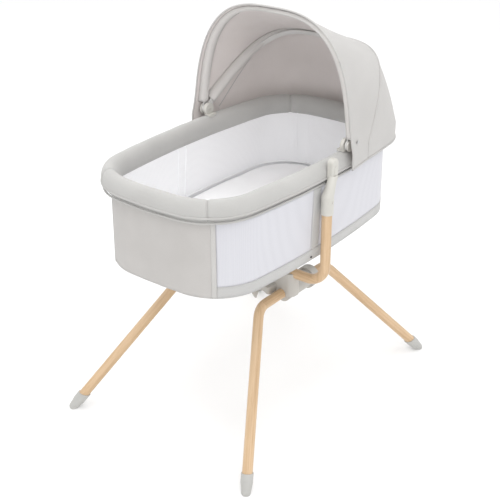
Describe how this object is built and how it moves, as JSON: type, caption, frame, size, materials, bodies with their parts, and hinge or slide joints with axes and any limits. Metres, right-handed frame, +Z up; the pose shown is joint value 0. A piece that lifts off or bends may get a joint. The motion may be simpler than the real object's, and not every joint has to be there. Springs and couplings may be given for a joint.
{
  "type": "bassinet on stand",
  "caption": "Oval fabric bassinet with a padded rim, mesh sides and a folding hood, on a stand of bent tubes with splayed folding legs.",
  "frame": {"origin": "floor, under the middle of the stand", "axes": "+X along the basket to the hood end, +Y across it, +Z up"},
  "size_m": [0.9195, 0.658, 1.1141],
  "materials": {
    "wood_look": "wood-look film on steel tube, satin",
    "cream_plastic": "satin moulded plastic",
    "grey_plastic": "satin moulded plastic",
    "rubber": "black rubber",
    "foot_plastic": "satin moulded plastic",
    "dark_steel": "blackened steel",
    "steel": "plain steel",
    "aluminium": "drawn tube",
    "rim_fabric": "fine woven polyester",
    "panel_fabric": "fine woven polyester",
    "canopy_fabric": "fine woven polyester",
    "binding_fabric": "woven binding tape",
    "mesh_fabric": "white knitted mesh",
    "lining_fabric": "white quilted cotton and mesh",
    "mattress_fabric": "white quilted cotton",
    "board_plastic": "hollow sheet",
    "bow_plastic": "flexible strip"
  },
  "bodies": {
    "stand": {"u_frame": "wood_look", "hub_housing_near": "grey_plastic", "hub_housing_far": "grey_plastic", "hub_collar_near": "grey_plastic", "hub_collar_far": "grey_plastic", "housing_screws": "dark_steel", "lever_pins": "steel", "upright_collar_near": "cream_plastic", "upright_collar_far": "cream_plastic"},
    "leg_near": {"leg_frame_near": "wood_look", "foot_cap_near_foot": "foot_plastic", "foot_cap_near_head": "foot_plastic"},
    "leg_far": {"leg_frame_far": "wood_look", "foot_cap_far_foot": "foot_plastic", "foot_cap_far_head": "foot_plastic"},
    "lever_near": {"fold_lever_near": "grey_plastic"},
    "lever_far": {"fold_lever_far": "grey_plastic"},
    "socket_button_near": {"collar_button_near": "cream_plastic"},
    "socket_button_far": {"collar_button_far": "cream_plastic"},
    "basket": {"mount_bracket_near": "cream_plastic", "mount_bracket_far": "cream_plastic", "bracket_spigot_near": "cream_plastic", "bracket_spigot_far": "cream_plastic", "button_spring": "rubber", "rim_frame": "aluminium", "rim_pad_foot": "rim_fabric", "rim_pad_head": "rim_fabric", "rim_pad_near": "rim_fabric", "rim_pad_far": "rim_fabric", "rim_piping": "binding_fabric", "bottom_band": "panel_fabric", "foot_panel": "panel_fabric", "head_panel": "panel_fabric", "side_strip_near": "binding_fabric", "side_strip_far": "binding_fabric", "mesh_window_foot_near": "mesh_fabric", "mesh_window_foot_far": "mesh_fabric", "mesh_window_head_near": "mesh_fabric", "mesh_window_head_far": "mesh_fabric", "basket_lining": "lining_fabric", "base_board": "board_plastic", "base_wire": "steel", "mattress": "mattress_fabric", "band_snaps": "dark_steel", "canopy_hub_near": "cream_plastic", "canopy_hub_far": "cream_plastic", "canopy_pins": "steel", "canopy_hub_caps": "cream_plastic", "canopy_rear_panel": "canopy_fabric"},
    "release": {"release_button": "cream_plastic"},
    "mid_bow_body": {"mid_bow": "bow_plastic"},
    "front_bow_body": {"front_bow": "bow_plastic", "canopy_front_panel": "canopy_fabric", "canopy_snaps": "steel"}
  },
  "joints": [
    {"name": "leg_near_fold", "type": "hinge", "parent": "stand", "child": "leg_near", "pos_m": [0, -0.1395, 0.361], "axis": [1, 0, 0], "range_deg": [0, 115]},
    {"name": "leg_far_fold", "type": "hinge", "parent": "stand", "child": "leg_far", "pos_m": [0, 0.1395, 0.361], "axis": [-1, 0, 0], "range_deg": [0, 101]},
    {"name": "lever_near_pull", "type": "hinge", "parent": "stand", "child": "lever_near", "pos_m": [-0.066, -0.056, 0.358], "axis": [-1, 0, 0], "range_deg": [0, 18], "stiffness_Nm_per_rad": 0.02},
    {"name": "lever_far_pull", "type": "hinge", "parent": "stand", "child": "lever_far", "pos_m": [-0.066, 0.056, 0.358], "axis": [1, 0, 0], "range_deg": [0, 18], "stiffness_Nm_per_rad": 0.02},
    {"name": "socket_button_near_press", "type": "slide", "parent": "stand", "child": "socket_button_near", "axis": [0, 1, 0], "range_m": [0, 0.0018], "stiffness_N_per_m": 400, "springref_m": -0.001},
    {"name": "socket_button_far_press", "type": "slide", "parent": "stand", "child": "socket_button_far", "axis": [0, -1, 0], "range_m": [0, 0.0018], "stiffness_N_per_m": 400, "springref_m": -0.001},
    {"name": "basket_lift", "type": "slide", "parent": "stand", "child": "basket", "axis": [0, 0, 1], "range_m": [0, 0.09]},
    {"name": "release_press", "type": "slide", "parent": "basket", "child": "release", "axis": [0, 1, 0], "range_m": [0, 0.003], "stiffness_N_per_m": 400, "springref_m": -0.001},
    {"name": "mid_bow_fold", "type": "hinge", "parent": "basket", "child": "mid_bow_body", "pos_m": [0.09, 0, 0.78], "axis": [0, 1, 0], "range_deg": [0, 36], "deforming": ["canopy_rear_panel"]},
    {"name": "front_bow_fold", "type": "hinge", "parent": "mid_bow_body", "child": "front_bow_body", "pos_m": [0.09, 0, 0.78], "axis": [0, 1, 0], "range_deg": [0, 36], "deforming": ["canopy_front_panel"]}
  ],
  "couplings": [
    {"joint": "front_bow_fold", "follows": "mid_bow_fold", "ratio": 1}
  ]
}
